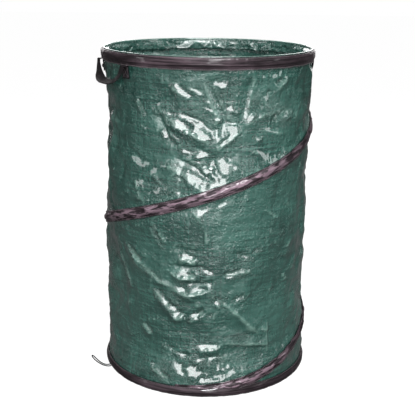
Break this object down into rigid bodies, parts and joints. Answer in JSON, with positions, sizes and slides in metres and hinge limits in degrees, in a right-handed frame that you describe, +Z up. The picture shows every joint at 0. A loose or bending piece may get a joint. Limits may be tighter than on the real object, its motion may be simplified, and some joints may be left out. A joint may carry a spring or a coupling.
{
  "type": "pop up leaf bag",
  "caption": "Pop up leaf bag: a tarpaulin tube between wire hoops, held open by a taped spring coil, with webbing handles and a barrel toggle and elastic loop that keep it shut when flat.",
  "frame": {"origin": "middle of the floor panel's underside, on the ground", "axes": "+Z up along the bag's axis from the floor to the open mouth; -Y is the side that faces the viewer; angles are counted from +X, turning left seen from above"},
  "size_m": [0.4845, 0.4568, 0.711],
  "materials": {
    "tarpaulin": "woven and coated, glossy and creased, dark green",
    "tape": "woven binding tape with a satin sheen, mauve black",
    "webbing": "plain woven webbing, dull black",
    "elastic": "braided elastic cord, dull black",
    "toggle_plastic": "moulded, satin black",
    "spring_steel": "drawn spring wire",
    "ferrule_metal": "crimped sleeve"
  },
  "bodies": {
    "base": {"floor_panel": "tarpaulin", "bottom_binding": "tape", "bottom_hoop_wire": "spring_steel", "bottom_ferrule": "ferrule_metal", "wall_panel": "tarpaulin", "coil_wire": "spring_steel", "coil_casing": "tape", "closure_loop": "elastic"},
    "rim": {"top_binding": "tape", "top_hoop_wire": "spring_steel", "top_ferrule": "ferrule_metal", "rim_hem": "tarpaulin", "handle_left_front_end": "webbing", "handle_left_back_end": "webbing", "handle_right_front_end": "webbing", "handle_right_back_end": "webbing", "toggle_tab": "webbing"},
    "left_handle": {"handle_left": "webbing"},
    "right_handle": {"handle_right": "webbing"},
    "toggle": {"toggle_ribbon": "webbing", "closure_toggle": "toggle_plastic"}
  },
  "joints": [
    {"name": "collapse", "type": "slide", "parent": "base", "child": "rim", "axis": [0, 0, 1], "range_m": [-0.615, 0], "stiffness_N_per_m": 30, "springref_m": 0.25, "deforming": ["wall_panel", "coil_wire", "coil_casing"]},
    {"name": "handle_left_swing", "type": "hinge", "parent": "rim", "child": "left_handle", "pos_m": [-0.20165, -0.08559, 0.6833], "axis": [-0.3907, 0.9205, 0], "range_deg": [0, 150]},
    {"name": "handle_right_swing", "type": "hinge", "parent": "rim", "child": "right_handle", "pos_m": [0.18372, 0.11931, 0.6833], "axis": [0.5446, -0.8387, 0], "range_deg": [0, 150]},
    {"name": "toggle_swing", "type": "hinge", "parent": "rim", "child": "toggle", "pos_m": [-0.22448, 0.04772, 0.6835], "axis": [0.2079, 0.9781, 0], "range_deg": [0, 150]}
  ]
}
